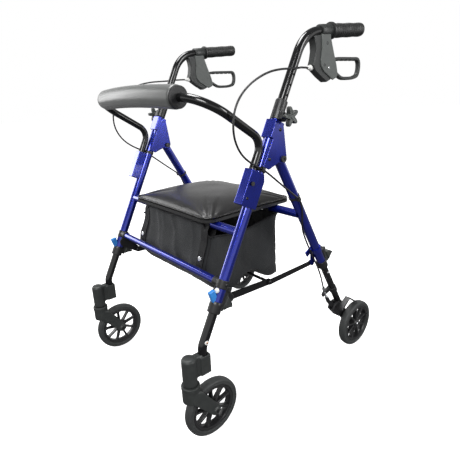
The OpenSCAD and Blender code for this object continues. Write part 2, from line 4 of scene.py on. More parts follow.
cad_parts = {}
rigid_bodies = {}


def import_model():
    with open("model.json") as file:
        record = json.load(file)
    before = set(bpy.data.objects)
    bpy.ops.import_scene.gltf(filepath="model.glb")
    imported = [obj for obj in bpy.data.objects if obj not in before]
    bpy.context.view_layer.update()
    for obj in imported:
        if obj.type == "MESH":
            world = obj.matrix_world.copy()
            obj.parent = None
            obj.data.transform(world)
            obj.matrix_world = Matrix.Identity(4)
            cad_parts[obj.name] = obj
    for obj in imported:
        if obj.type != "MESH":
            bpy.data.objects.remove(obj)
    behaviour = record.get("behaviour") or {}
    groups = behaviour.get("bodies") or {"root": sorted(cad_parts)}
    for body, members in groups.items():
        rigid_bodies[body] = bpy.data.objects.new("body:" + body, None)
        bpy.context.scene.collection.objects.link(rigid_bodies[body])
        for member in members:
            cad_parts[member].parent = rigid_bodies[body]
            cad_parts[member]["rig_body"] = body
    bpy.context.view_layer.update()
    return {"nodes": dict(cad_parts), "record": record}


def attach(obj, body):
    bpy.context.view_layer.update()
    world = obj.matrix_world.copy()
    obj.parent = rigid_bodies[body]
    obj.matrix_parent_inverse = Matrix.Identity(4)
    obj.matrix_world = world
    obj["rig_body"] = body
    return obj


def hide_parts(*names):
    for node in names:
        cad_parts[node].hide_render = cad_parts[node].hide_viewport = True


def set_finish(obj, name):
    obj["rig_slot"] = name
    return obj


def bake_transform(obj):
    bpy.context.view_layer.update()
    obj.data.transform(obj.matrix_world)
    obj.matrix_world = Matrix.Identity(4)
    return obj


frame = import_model()
scn = bpy.context.scene
SL, CL = math.sin(math.radians(26.6)), math.cos(math.radians(26.6))
SIDES = (("left", 1), ("right", -1))


# ---------------------------------------------------------------- places
def mm(x, y, z):
    return Vector((x, y, z)) * 0.001


def front(x, y, s):
    return mm(x, -257.6 + s * SL + y * CL, 351.4 + s * CL - y * SL)


def rear(x, y, z):
    return mm(x, -51 + 0.8660254 * y - 0.5 * z, 660 + 0.5 * y + 0.8660254 * z)


END = (86.37, 942.62)
ED = (math.sin(math.radians(85)), math.cos(math.radians(85)))


def handle_end(x, up, l):
    return mm(x, END[0] + ED[0] * l - ED[1] * up, END[1] + ED[1] * l + ED[0] * up)


# ---------------------------------------------------------------- materials
def material(name, base, rough=0.5, metal=0.0, coat=0.0, coat_rough=0.05, vary=0.25, scale=60, bump=0.1, bump_scale=900,
             bump_dist=0.0004, spec=0.5, sheen=0.0, rough_vary=0.12, pattern=None, wear=0.0, wear_colour=(0.3, 0.3, 0.3)):
    m = bpy.data.materials.new(name)
    m.use_nodes = True
    nt = m.node_tree
    N, L = nt.nodes, nt.links
    b = N["Principled BSDF"]
    b.inputs["Metallic"].default_value = metal
    b.inputs["Coat Weight"].default_value = coat
    b.inputs["Coat Roughness"].default_value = coat_rough
    b.inputs["Specular IOR Level"].default_value = spec
    b.inputs["Sheen Weight"].default_value = sheen
    tc = N.new("ShaderNodeTexCoord")
    n1 = N.new("ShaderNodeTexNoise")
    n1.inputs["Scale"].default_value = scale
    n1.inputs["Detail"].default_value = 6
    L.new(tc.outputs["Object"], n1.inputs["Vector"])
    ramp = N.new("ShaderNodeValToRGB")
    ramp.color_ramp.elements[0].position = 0.3
    ramp.color_ramp.elements[1].position = 0.7
    ramp.color_ramp.elements[0].color = [c * (1 - vary) for c in base] + [1]
    ramp.color_ramp.elements[1].color = [min(1, c * (1 + vary)) for c in base] + [1]
    L.new(n1.outputs["Fac"], ramp.inputs["Fac"])
    colour = ramp.outputs["Color"]
    if wear:
        geo = N.new("ShaderNodeNewGeometry")
        wr = N.new("ShaderNodeValToRGB")
        wr.color_ramp.elements[0].position = 0.53
        wr.color_ramp.elements[1].position = 0.62
        wr.color_ramp.elements[0].color = (0, 0, 0, 1)
        wr.color_ramp.elements[1].color = (wear, wear, wear, 1)
        L.new(geo.outputs["Pointiness"], wr.inputs["Fac"])
        mix = N.new("ShaderNodeMixRGB")
        mix.inputs["Color2"].default_value = (*wear_colour, 1)
        L.new(wr.outputs["Color"], mix.inputs["Fac"])
        L.new(colour, mix.inputs["Color1"])
        colour = mix.outputs["Color"]
    n2 = N.new("ShaderNodeTexNoise")
    n2.inputs["Scale"].default_value = bump_scale
    n2.inputs["Detail"].default_value = 3
    L.new(tc.outputs["Object"], n2.inputs["Vector"])
    height = n2.outputs["Fac"]
    if pattern == "weave":
        waves = []
        for d in ("X", "Z"):
            w = N.new("ShaderNodeTexWave")
            w.wave_type = "BANDS"
            w.bands_direction = d
            w.inputs["Scale"].default_value = bump_scale
            w.inputs["Distortion"].default_value = 0.6
            L.new(tc.outputs["Object"], w.inputs["Vector"])
            waves.append(w)
        mx = N.new("ShaderNodeMath")
        mx.operation = "MAXIMUM"
        L.new(waves[0].outputs["Fac"], mx.inputs[0])
        L.new(waves[1].outputs["Fac"], mx.inputs[1])
        height = mx.outputs[0]
        mul = N.new("ShaderNodeMixRGB")
        mul.blend_type = "MULTIPLY"
        mul.inputs["Fac"].default_value = 0.45
        L.new(colour, mul.inputs["Color1"])
        L.new(height, mul.inputs["Color2"])
        colour = mul.outputs["Color"]
    elif pattern in ("grain", "flake", "pores"):
        v = N.new("ShaderNodeTexVoronoi")
        v.inputs["Scale"].default_value = bump_scale
        if pattern == "grain":
            v.feature = "DISTANCE_TO_EDGE"
        L.new(tc.outputs["Object"], v.inputs["Vector"])
        height = v.outputs["Distance"]
        if pattern == "grain":
            r2 = N.new("ShaderNodeValToRGB")
            r2.color_ramp.elements[1].position = 0.25
            L.new(height, r2.inputs["Fac"])
            height = r2.outputs["Color"]
        if pattern == "flake":
            mul = N.new("ShaderNodeMixRGB")
            mul.blend_type = "MULTIPLY"
            mul.inputs["Fac"].default_value = 0.35
            L.new(colour, mul.inputs["Color1"])
            L.new(v.outputs["Color"], mul.inputs["Color2"])
            colour = mul.outputs["Color"]
    L.new(colour, b.inputs["Base Color"])
    mr = N.new("ShaderNodeMapRange")
    mr.inputs["To Min"].default_value = max(0.02, rough - rough_vary)
    mr.inputs["To Max"].default_value = min(1, rough + rough_vary)
    L.new(n1.outputs["Fac"], mr.inputs["Value"])
    L.new(mr.outputs["Result"], b.inputs["Roughness"])
    bp = N.new("ShaderNodeBump")
    bp.inputs["Strength"].default_value = bump
    bp.inputs["Distance"].default_value = bump_dist
    L.new(height, bp.inputs["Height"])
    L.new(bp.outputs["Normal"], b.inputs["Normal"])
    return m


BLUE = material("blue_paint", (0.008, 0.022, 0.36), 0.2, 0.7, coat=1.0, coat_rough=0.04, vary=0.1, scale=30, pattern="flake", bump=0.015, bump_scale=4000, rough_vary=0.05)
BLACK = material("black_gloss", (0.0045, 0.0045, 0.005), 0.18, 0.0, coat=0.35, coat_rough=0.07, vary=0.2, bump=0.02, bump_scale=700, spec=0.4, rough_vary=0.05)
GREY = material("grey_plastic", (0.028, 0.031, 0.030), 0.42, vary=0.12, bump=0.22, bump_scale=1800, bump_dist=0.0002, spec=0.5, wear=0.25, wear_colour=(0.10, 0.11, 0.108))
HOUSING = material("housing_plastic", (0.016, 0.018, 0.0175), 0.45, vary=0.12, bump=0.22, bump_scale=1800, bump_dist=0.0002, wear=0.2, wear_colour=(0.09, 0.095, 0.095))
PLASTIC = material("black_plastic", (0.010, 0.010, 0.011), 0.38, vary=0.15, bump=0.12, bump_scale=1500, bump_dist=0.0002, wear=0.2, wear_colour=(0.06, 0.06, 0.06))
TYRE = material("tyre_rubber", (0.034, 0.036, 0.036), 0.55, vary=0.15, scale=120, bump=0.25, bump_scale=1300, bump_dist=0.0003, spec=0.4)
RIM = material("rim_plastic", (0.010, 0.010, 0.011), 0.32, vary=0.15, bump=0.08, bump_scale=1500, wear=0.3, wear_colour=(0.12, 0.12, 0.12))
VINYL = material("seat_vinyl", (0.009, 0.0088, 0.0088), 0.38, vary=0.12, scale=18, pattern="grain", bump=0.16, bump_scale=520, bump_dist=0.0004, spec=0.55, coat=0.12, coat_rough=0.25, rough_vary=0.07)
FOAM = material("pad_foam", (0.060, 0.064, 0.061), 0.36, vary=0.1, scale=25, pattern="pores", bump=0.1, bump_scale=1500, bump_dist=0.0003, spec=0.85, sheen=0.25, rough_vary=0.06)
FABRIC = material("bag_nylon", (0.011, 0.0125, 0.014), 0.7, vary=0.2, scale=14, pattern="weave", bump=0.35, bump_scale=420, bump_dist=0.0004, spec=0.35, sheen=0.15)
WEB = material("webbing", (0.010, 0.010, 0.011), 0.65, vary=0.2, pattern="weave", bump=0.5, bump_scale=300, bump_dist=0.0005, spec=0.3)
GRIP = material("grip_rubber", (0.011, 0.0115, 0.0115), 0.46, vary=0.15, bump=0.2, bump_scale=1400, bump_dist=0.0003)
STEEL = material("steel", (0.62, 0.63, 0.65), 0.26, 1.0, vary=0.12, scale=200, bump=0.05, bump_scale=2500, rough_vary=0.08)
DARKSTEEL = material("black_steel", (0.03, 0.03, 0.032), 0.3, 0.7, vary=0.2, scale=200, bump=0.06, bump_scale=2000)
# light grey of the brake housing's side plates; on the star knob it is a painted highlight on the head's flat faces
PLATE_AND_KNOB_HIGHLIGHT = material("housing_light", (0.070, 0.077, 0.073), 0.46, vary=0.1, bump=0.22, bump_scale=1800, bump_dist=0.0002, wear=0.2, wear_colour=(0.14, 0.15, 0.145))
COPPER = material("copper_button", (0.75, 0.42, 0.26), 0.3, 1.0, vary=0.12, scale=200, bump=0.04, bump_scale=2000)
WHITE = material("rivet_white", (0.72, 0.72, 0.70), 0.4, vary=0.06, scale=200, bump=0.05, bump_scale=2000)
CLIP = material("blue_clip", (0.03, 0.22, 0.62), 0.35, vary=0.1, scale=200, bump=0.05, bump_scale=1500, coat=0.4)
JACKET = material("cable_jacket", (0.011, 0.011, 0.012), 0.33, vary=0.15, bump=0.08, bump_scale=1200)
BOARD = material("seat_board", (0.012, 0.012, 0.012), 0.55, vary=0.2, bump=0.2, bump_scale=900)


# ---------------------------------------------------------------- mesh helpers
def make(name, verts, faces, mat, body=None, smooth=True, slot=None, bevel=0, angle=35, seg=3):
    me = bpy.data.meshes.new(name)
    me.from_pydata([tuple(v) for v in verts], [], faces)
    bm = bmesh.new()
    bm.from_mesh(me)
    bmesh.ops.remove_doubles(bm, verts=bm.verts, dist=1e-7)
    bmesh.ops.recalc_face_normals(bm, faces=bm.faces)
    bm.to_mesh(me)
    bm.free()
    o = bpy.data.objects.new(name, me)
    scn.collection.objects.link(o)
    me.materials.append(mat)
    if bevel:
        b = o.modifiers.new("bevel", "BEVEL")
        b.width = bevel * 0.001
        b.segments = seg
        b.limit_method = "ANGLE"
        b.angle_limit = math.radians(angle)
        b.harden_normals = False
    if smooth:
        for p in me.polygons:
            p.use_smooth = True
        me.set_sharp_from_angle(angle=math.radians(38))
    if slot:
        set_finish(o, slot)
    if body:
        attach(o, body)
    return o


def frames_along(pts):
    n = len(pts)
    tan = []
    for i in range(n):
        tan.append((pts[min(i + 1, n - 1)] - pts[max(i - 1, 0)]).normalized())
    ref = Vector((1, 0, 0)) if abs(tan[0].x) < 0.9 else Vector((0, 0, 1))
    a = (ref - tan[0] * ref.dot(tan[0])).normalized()
    out = []
    for t in tan:
        a = (a - t * a.dot(t)).normalized()
        out.append((t, a, t.cross(a)))
    return out


def sweep(name, pts, radii, mat, body=None, n=28, slot=None, hole=None, shape=None):
    """Tube along pts (metres) with a radius in mm per point. hole leaves an inner wall, so the ends are rings."""
    if not hasattr(radii, "__len__"):
        radii = [radii] * len(pts)
    fr = frames_along(pts)
    verts, faces = [], []
    for p, r, (t, a, b) in zip(pts, radii, fr):
        for k in range(n):
            c = 2 * math.pi * k / n
            q = shape(c) if shape else 1
            verts.append(p + (a * math.cos(c) + b * math.sin(c)) * (r * q * 0.001))
    m = len(pts)
    for i in range(m - 1):
        for k in range(n):
            faces.append((i * n + k, i * n + (k + 1) % n, (i + 1) * n + (k + 1) % n, (i + 1) * n + k))
    if hole:
        base = len(verts)
        for p, (t, a, b) in zip(pts, fr):
            for k in range(n):
                c = 2 * math.pi * k / n
                verts.append(p + (a * math.cos(c) + b * math.sin(c)) * (hole * 0.001))
        for i in range(m - 1):
            for k in range(n):
                faces.append((base + i * n + k, base + (i + 1) * n + k, base + (i + 1) * n + (k + 1) % n, base + i * n + (k + 1) % n))
        for k in range(n):
            k2 = (k + 1) % n
            faces.append((k, base + k, base + k2, k2))
            e = (m - 1) * n
            faces.append((e + k, e + k2, base + e + k2, base + e + k))
    else:
        faces.append(tuple(range(n))[::-1])
        faces.append(tuple((m - 1) * n + k for k in range(n)))
    return make(name, verts, faces, mat, body, slot=slot)


def lathe(name, profile, centre, axis, mat, body=None, n=64, slot=None, closed=False):
    """profile is (radius, along) in mm."""
    axis = Vector(axis).normalized()
    ref = Vector((0, 0, 1)) if abs(axis.z) < 0.9 else Vector((1, 0, 0))
    a = (ref - axis * ref.dot(axis)).normalized()
    b = axis.cross(a)
    verts, faces = [], []
    m = len(profile)
    for r, h in profile:
        for k in range(n):
            c = 2 * math.pi * k / n
            verts.append(Vector(centre) + (a * math.cos(c) + b * math.sin(c)) * (max(r, 0.001) * 0.001) + axis * (h * 0.001))
    for i in range(m if closed else m - 1):
        j = (i + 1) % m
        for k in range(n):
            faces.append((i * n + k, i * n + (k + 1) % n, j * n + (k + 1) % n, j * n + k))
    if not closed:
        faces.append(tuple(range(n))[::-1])
        faces.append(tuple((m - 1) * n + k for k in range(n)))
    return make(name, verts, faces, mat, body, slot=slot)


def slab(name, outline, x0, x1, mat, body, bevel=1.0, slot=None):
    """outline in (y, z) mm, extruded along X."""
    n = len(outline)
    verts = [mm(x0, y, z) for y, z in outline] + [mm(x1, y, z) for y, z in outline]
    faces = [tuple(range(n)), tuple(range(2 * n - 1, n - 1, -1))]
    for i in range(n):
        j = (i + 1) % n
        faces.append((i, j, n + j, n + i))
    return make(name, verts, faces, mat, body, bevel=bevel, slot=slot)


def join(name, objs, body=None, slot=None):
    """One object of several, each with its own material."""
    for o in objs:
        dg = bpy.context.evaluated_depsgraph_get()
        me = bpy.data.meshes.new_from_object(o.evaluated_get(dg), preserve_all_data_layers=True, depsgraph=dg)
        me.transform(o.matrix_world)
        o.modifiers.clear()
        o.parent = None
        o.matrix_world = Matrix.Identity(4)
        o.data = me
    with bpy.context.temp_override(active_object=objs[0], selected_editable_objects=objs, selected_objects=objs, object=objs[0]):
        bpy.ops.object.join()
    o = objs[0]
    o.name = name
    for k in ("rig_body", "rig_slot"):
        if k in o:
            del o[k]
    if slot:
        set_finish(o, slot)
    if body:
        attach(o, body)
    return o


def bake(o):
    dg = bpy.context.evaluated_depsgraph_get()
    me = bpy.data.meshes.new_from_object(o.evaluated_get(dg), preserve_all_data_layers=True, depsgraph=dg)
    o.modifiers.clear()
    o.data = me
    return o


def soften(node, mat, voxel=1.3, smooth=5, body=None, slot=None):
    """The moulded piece of a CAD node: same shape, with every edge rounded as a mould leaves it."""
    src = frame["nodes"][node]
    me = src.data.copy()
    me.transform(src.matrix_world)
    o = bpy.data.objects.new(node + "_moulded", me)
    scn.collection.objects.link(o)
    r = o.modifiers.new("remesh", "REMESH")
    r.mode = "VOXEL"
    r.voxel_size = voxel * 0.001
    s = o.modifiers.new("smooth", "SMOOTH")
    s.factor = 0.5
    s.iterations = smooth
    bake(o)
    o.data.materials.clear()
    o.data.materials.append(mat)
    for p in o.data.polygons:
        p.use_smooth = True
    if slot:
        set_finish(o, slot)
    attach(o, body)
    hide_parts(node)
    return o


def curve_points(pts, step=6.0, t0=0.0):
    """Smooth curve through pts (mm tuples), as metres, about step mm apart."""
    P = [Vector(p) for p in pts]
    P = [P[0] * 2 - P[1]] + P + [P[-1] * 2 - P[-2]]
    out = []
    for i in range(1, len(P) - 2):
        a, b, c, d = P[i - 1], P[i], P[i + 1], P[i + 2]
        k = max(2, int((c - b).length / step))
        for j in range(k):
            t = j / k
            out.append(0.5 * ((2 * b) + (c - a) * t + (2 * a - 5 * b + 4 * c - d) * t * t + (3 * b - a - 3 * c + d) * t ** 3) * 0.001)
    out.append(P[-2] * 0.001)
    return out


# ---------------------------------------------------------------- CAD nodes that keep their shape
KEEP = {
    "front_tubes": BLUE, "front_crossbars": BLUE, "rear_legs": BLUE, "rear_seat_bar": BLUE, "rear_brace_lugs": BLUE,
    "hinge_bolts": PLASTIC, "front_cable_clips": PLASTIC, "rear_cable_clips": PLASTIC, "backrest_end_caps": PLASTIC,
    "brace_front_links": BLACK, "brace_rear_links": BLACK, "seat_board": BOARD, "backrest_tube": BLACK,
}
for s, _ in SIDES:
    KEEP.update({"backrest_button_" + s: PLASTIC, "handle_tube_" + s: BLACK, "rear_leg_tube_" + s: BLACK})
for n, m in KEEP.items():
    o = frame["nodes"][n]
    o.data.materials.clear()
    o.data.materials.append(m)
    for p in o.data.polygons:
        p.material_index = 0

BODY = {n: b for b, ns in frame["record"]["behaviour"]["bodies"].items() for n in ns}
SOFT = {"front_tube_collars": PLASTIC, "rear_leg_collars": PLASTIC, "frame_bumpers": PLASTIC, "front_brace_brackets": PLASTIC, "gusset_plates": BLUE, "backrest_sockets": BLUE}
for s, _ in SIDES:
    SOFT.update({"caster_mount_" + s: GREY, "caster_fork_" + s: GREY,
                 "rear_axle_bracket_" + s: PLASTIC, "brake_shoe_" + s: PLASTIC, "front_lock_lever_" + s: GREY, "rear_lock_lever_" + s: GREY})
SLOT = {r["node"]: r["material_slot"] for r in frame["record"]["subparts"]}
for n, m in SOFT.items():
    fine = n.startswith(("brake", "front_lock", "rear_lock", "gusset", "backrest"))
    soften(n, m, voxel=1.0 if fine else 1.4, smooth=3 if m is BLUE else 5, body=BODY[n], slot=SLOT[n])


# ---------------------------------------------------------------- legs
for s, k in SIDES:
    x = 255 * k
    R = 42
    iy, iz = -306, 351.4 + (-306 + 257.6) / math.tan(math.radians(26.6))
    t = R * math.tan(math.radians(13.3))
    pts = [mm(x, iy, iz - 62), mm(x, iy, iz - 30), mm(x, iy, iz - t)]
    for i in range(1, 11):
        a = math.radians(26.6) * i / 10
        pts.append(mm(x, iy + R * (1 - math.cos(a)), iz - t + R * math.sin(a)))
    last = pts[-1]
    for d in (20, 60, 100, 150, 214 - t):
        pts.append(last + Vector((0, SL, CL)) * (d * 0.001))
    o = sweep("front_leg_bent_" + s, pts, 11, BLACK, "front_leg_" + s, n=40, slot="tube_black", hole=9.4)
    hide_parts("front_leg_tube_" + s)
    # snap button and the row of adjustment holes on the outer side of the leg
    for i, d in enumerate((15, 40, 65)):
        c = mm(x, iy, iz) + Vector((0, SL, CL)) * (d * 0.001)
        if i == 0:
            lathe("leg_button_ring_" + s, [(2.9, 12.0), (4.6, 12.0), (5.4, 11.2), (5.6, 9.6), (2.9, 9.6)], c, (k, 0, 0), WHITE, "front_leg_" + s, 28, closed=True)
            lathe("leg_snap_button_" + s, [(0.1, 13.0), (1.8, 12.9), (2.7, 12.2), (2.8, 10.4)], c, (k, 0, 0), COPPER, "front_leg_" + s, 24)
        else:
            lathe("leg_hole_%d_%s" % (i, s), [(2.6, 10.2), (3.5, 10.9), (3.9, 10.7), (3.9, 10.0)], c, (k, 0, 0), PLASTIC, "front_leg_" + s, 24)
    for i in range(4):
        c = rear(x, 0, -(420 + i * 25))
        if i == 0:
            lathe("rear_snap_button_" + s, [(0.1, 12.4), (2.4, 12.3), (3.4, 11.4), (3.8, 9.6)], c, (k, 0, 0), STEEL, "rear_leg_" + s, 24)
        else:
            lathe("rear_leg_hole_%d_%s" % (i, s), [(2.4, 9.2), (3.2, 9.9), (3.6, 9.7), (3.6, 9.0)], c, (k, 0, 0), PLASTIC, "rear_leg_" + s, 24)
    # white rivet above the lower collar, bolt heads of the crossbar
    lathe("collar_rivet_" + s, [(0.1, 16.6), (4.2, 16.4), (5.6, 15.2), (6, 12.6)], front(x, -3, 30), (k * 0.35, -0.84, 0.42), WHITE, "front_frame", 32)
    lathe("crossbar_bolt_" + s, [(0.1, 15.6), (3, 15.4), (4.6, 14.2), (5, 12)], front(x, 0, 47), (k, 0, 0), DARKSTEEL, "front_frame", 32)


# ---------------------------------------------------------------- wheels
def wheel(s, k, which, x, y, body):
    c = mm(x, y, 76)
    prof = [(60.1, -8.5), (61.0, -11.2), (62.8, -12.2), (66.0, -12.4), (66.8, -11.9), (67.6, -12.4), (71.0, -12.1), (73.4, -10.6), (75.0, -8.2), (75.8, -5), (76, 0)]
    prof = prof + [(r, -h) for r, h in reversed(prof[:-1])]
    o = lathe("%s_tyre_moulded_%s" % (which, s), prof, c, (1, 0, 0), TYRE, None, 128, closed=True, slot="tyre")
    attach(o, body)
    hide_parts("%s_tyre_%s" % (which, s))
    hw = 14 if which == "front" else 12
    ring = [(52.2, -7.5), (53.4, -9.8), (57.5, -10.8), (59.4, -10.2), (60.0, -8.4), (60.0, 8.4), (59.4, 10.2), (57.5, 10.8), (53.4, 9.8), (52.2, 7.5), (52.8, 0)]
    parts = [lathe("ring", ring, c, (1, 0, 0), RIM, None, 96, closed=True)]
    hub = [(4.1, -hw), (8, -hw), (11.5, -hw + 0.6), (12.8, -hw + 2), (13.4, -7), (13.4, 7), (12.8, hw - 2), (11.5, hw - 0.6), (8, hw), (4.1, hw)]
    parts.append(lathe("hub", hub, c, (1, 0, 0), RIM, None, 64, closed=True))
    for i in range(9):
        a = 2 * math.pi * i / 9 + 0.2
        rad, tng = Vector((0, math.cos(a), math.sin(a))), Vector((0, -math.sin(a), math.cos(a)))
        v = []
        for r, w, h in ((11, 4.4, 8.2), (20, 3.2, 6.6), (46, 2.6, 6.2), (53.4, 4.2, 7.2)):
            for sx, sy in ((-1, -1), (1, -1), (1, 1), (-1, 1)):
                v.append(c + rad * (r * 0.001) + tng * (sy * w * 0.001) + Vector((sx * h * 0.001, 0, 0)))
        f = [(3, 2, 1, 0), (12, 13, 14, 15)]
        for q in range(3):
            for e in range(4):
                f.append((q * 4 + e, q * 4 + (e + 1) % 4, q * 4 + 4 + (e + 1) % 4, q * 4 + 4 + e))
        parts.append(make("spoke", v, f, RIM, bevel=1.1, seg=2))
    o = join("%s_rim_moulded_%s" % (which, s), parts, body, "rim")
    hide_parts("%s_rim_%s" % (which, s))


for s, k in SIDES:
    wheel(s, k, "front", 255 * k, -289.5, "front_wheel_" + s)
    wheel(s, k, "rear", 282 * k, 294.6, "rear_wheel_" + s)
    for d in (1, -1):
        lathe("front_axle_nut_%s_%s" % (s, "o" if d == 1 else "i"), [(0.1, 26.6), (3.2, 26.4), (4.6, 25.8), (5.2, 24.2), (5.2, 22)], mm(255 * k, -289.5, 76), (d * k, 0, 0), DARKSTEEL, "caster_" + s, 6)
    lathe("rear_axle_cap_" + s, [(0.1, 17.0), (4, 16.8), (6.5, 16.0), (7.4, 14.6), (7.4, 12)], mm(282 * k, 294.6, 76), (k, 0, 0), STEEL, "rear_leg_" + s, 40)
    lathe("caster_cap_" + s, [(0.1, 45.2), (9, 45.0), (14.2, 44.2), (15.6, 43.0), (15.8, 40.5)], mm(255 * k, -346, 200), (0, 0, 1), GREY, "front_leg_" + s, 48)


# ---------------------------------------------------------------- grips and knobs
for s, k in SIDES:
    x = 255 * k
    pts, rad = [], []
    prof = [(44.5, 17.5), (45.2, 19.4), (46.5, 20.0), (50.5, 19.9), (51.6, 18.4), (52.4, 16.2)]
    l = 53.5
    while l < 168:
        ph = (l - 53.5) % 9.0
        prof.append((l, 15.6 + (0.9 if 2.2 < ph < 7.4 else 0.0) + 0.35 * math.sin((l - 66) / 22 * math.pi)))
        l += 1.1
    prof += [(169, 16.0), (172, 16.4), (174.5, 15.8), (176.2, 13.6), (177.0, 9.5), (177.2, 3.0)]
    for a, r in prof:
        pts.append(handle_end(x, 0, a))
        rad.append(r)
    o = sweep("grip_ribbed_" + s, pts, rad, GRIP, "handle_" + s, n=56, slot="grip_rubber",
              shape=lambda c: 1 - 0.035 * max(0.0, math.cos(2 * c)) ** 2)
    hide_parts("grip_" + s)

    # star knob: round stem, hub and five-lobed head
    c0 = front(x, 0, 453)
    ax = Vector((k, 0, 0))
    up = Vector((0, SL, CL))
    sd = Vector((0, CL, -SL))
    parts = [lathe("stem", [(5, 14), (5, 29), (8, 29.4), (9, 30.5), (9, 36), (5, 36.2)], c0, ax, HOUSING, None, 40)]
    n, rings = 120, [(35.4, 0.86), (36.2, 0.95), (37.6, 1.0), (45.0, 1.0), (46.6, 0.96), (47.3, 0.88), (47.3, 0.62), (46.7, 0.57), (46.5, 0.30), (47.5, 0.25), (47.5, 0.01)]
    v, f = [], []
    for h, q in rings:
        for i in range(n):
            a = 2 * math.pi * i / n
            r = min(16.2 + 6.9 * math.cos(5 * a + 1.2), 22.5) * q if q > 0.5 else 17 * q
            v.append(c0 + (sd * math.cos(a) + up * math.sin(a)) * (r * 0.001) + ax * (h * 0.001))
    for j in range(len(rings) - 1):
        for i in range(n):
            f.append((j * n + i, j * n + (i + 1) % n, (j + 1) * n + (i + 1) % n, (j + 1) * n + i))
    f += [tuple(range(n))[::-1], tuple((len(rings) - 1) * n + i for i in range(n))]
    head = make("head", v, f, HOUSING)
    # the head's flat faces take the lighter grey and the lobe sides the darker one: painted highlight on the faces and
    # painted shade on the sides of one moulded piece
    head.data.materials.append(PLATE_AND_KNOB_HIGHLIGHT)
    for p in head.data.polygons:
        p.material_index = 1 if abs(p.normal.dot(ax)) > 0.85 else 0
    parts.append(head)
    o = join("star_knob_" + s, parts, "height_knob_" + s, "plastic_grey")
    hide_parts("height_knob_" + s)

    # cable nut, barrel adjuster and ferrule at the brake housing
    cy = Vector((0, -1, 0))
    lathe("cable_adjuster_" + s, [(2.6, -66), (6.2, -66), (6.4, -64), (6.4, -60), (5.2, -59.4), (5.2, -55), (4.2, -54), (3.6, -49.5), (2.6, -48)], mm(x, 0, 862), cy, WHITE, "handle_" + s, 32)
    # brake housing: clamp ring, dark filler and two lighter side plates
    plate = [(86, 936), (89, 905), (86, 880), (87, 866), (99, 853), (128, 838), (137, 834), (152, 840), (156, 848), (149, 870), (140, 889), (130, 912), (123, 928), (121, 940)]
    filler = [(60, 931), (92, 936), (94, 900), (92, 868), (108, 850), (134, 840), (131, 835), (115, 829), (90, 842), (68, 856), (61, 867), (66, 880), (69, 898), (67, 914)]
    axis = handle_end(x, 0, 1) - handle_end(x, 0, 0)
    parts = [lathe("ring", [(11.1, 4), (14.6, 4), (15.5, 5.2), (15.5, 42.8), (14.6, 44), (11.1, 44)], handle_end(x, 0, 0), axis, HOUSING, None, 56, closed=True),
             slab("filler", filler, x - 10, x + 10, HOUSING, None, bevel=2.2)]
    for q in (-1, 1):
        a0, a1 = sorted((8.3 * q, 13 * q))
        parts.append(slab("plate", plate, x + a0, x + a1, PLATE_AND_KNOB_HIGHLIGHT, None, bevel=1.7))
    o = join("brake_housing_moulded_" + s, parts, "handle_" + s, SLOT["brake_housing_" + s])
    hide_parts("brake_housing_" + s)
    # brake lever: a loop of rounded bar with finger scallops along its upper run
    loop = curve_points([(x, y, z) for y, z in ((127, 866), (138, 875), (150, 882), (165, 884.5), (190, 885.5), (220, 886.2), (246, 886.5), (257, 883.5), (262, 874), (261.5, 858), (256, 846.5), (242, 840.8), (224, 838.5), (190, 838.5), (173, 844), (160, 851), (142, 860), (126, 862))], 2.5)
    v, f = [], []
    for i, (q, (t, u, w)) in enumerate(zip(loop, frames_along(loop))):
        y = q.y * 1000
        top = q.z > 0.878 and 166 < y < 244
        wi = 4.3 + (1.0 - 2.6 * max(0.0, math.cos(2 * math.pi * (y - 178) / 19)) if top else 0)
        wo = 4.1 + 1.4 * max(0.0, min(1.0, (y - 240) / 16))
        for j in range(24):
            c = 2 * math.pi * j / 24
            cs, sn = math.cos(c), math.sin(c)
            ex, ey = math.copysign(abs(cs) ** 0.55, cs) * 6.0, math.copysign(abs(sn) ** 0.55, sn)
            v.append(q + u * (ex * 0.001) + w * (ey * (wi if ey > 0 else wo) * 0.001))
    for i in range(len(loop) - 1):
        for j in range(24):
            f.append((i * 24 + j, i * 24 + (j + 1) % 24, i * 24 + 24 + (j + 1) % 24, i * 24 + 24 + j))
    f += [tuple(range(24))[::-1], tuple((len(loop) - 1) * 24 + j for j in range(24))]
    o = join("brake_lever_moulded_" + s, [make("loop", v, f, HOUSING), lathe("boss", [(3.1, -6.6), (9, -6.6), (9.8, -5.8), (9.8, 5.8), (9, 6.6), (3.1, 6.6)], mm(x, 118, 862), (1, 0, 0), HOUSING, None, 40, closed=True),
                                          slab("root", [(112, 868), (120, 871), (136, 873), (146, 872), (146, 862), (134, 858), (120, 854), (112, 857)], x - 5.6, x + 5.6, HOUSING, None, bevel=1.4)],
             "brake_lever_" + s, SLOT["brake_lever_" + s])
    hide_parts("brake_lever_" + s)
    # two screws on the housing's outer face
    for i, (y, z) in enumerate(((108, 917), (100, 868))):
        lathe("housing_screw_%d_%s" % (i, s), [(0.1, 12.6), (2.2, 12.6), (2.4, 13.4), (3.6, 13.3), (4.0, 12.2)], mm(x, y, z), (k, 0, 0), DARKSTEEL, "handle_" + s, 24)
    lathe("lever_pin_" + s, [(0.1, 13.2), (2.6, 13.1), (3.8, 12.4), (4.0, 11.8)], mm(x, 118, 862), (k, 0, 0), STEEL, "handle_" + s, 24)


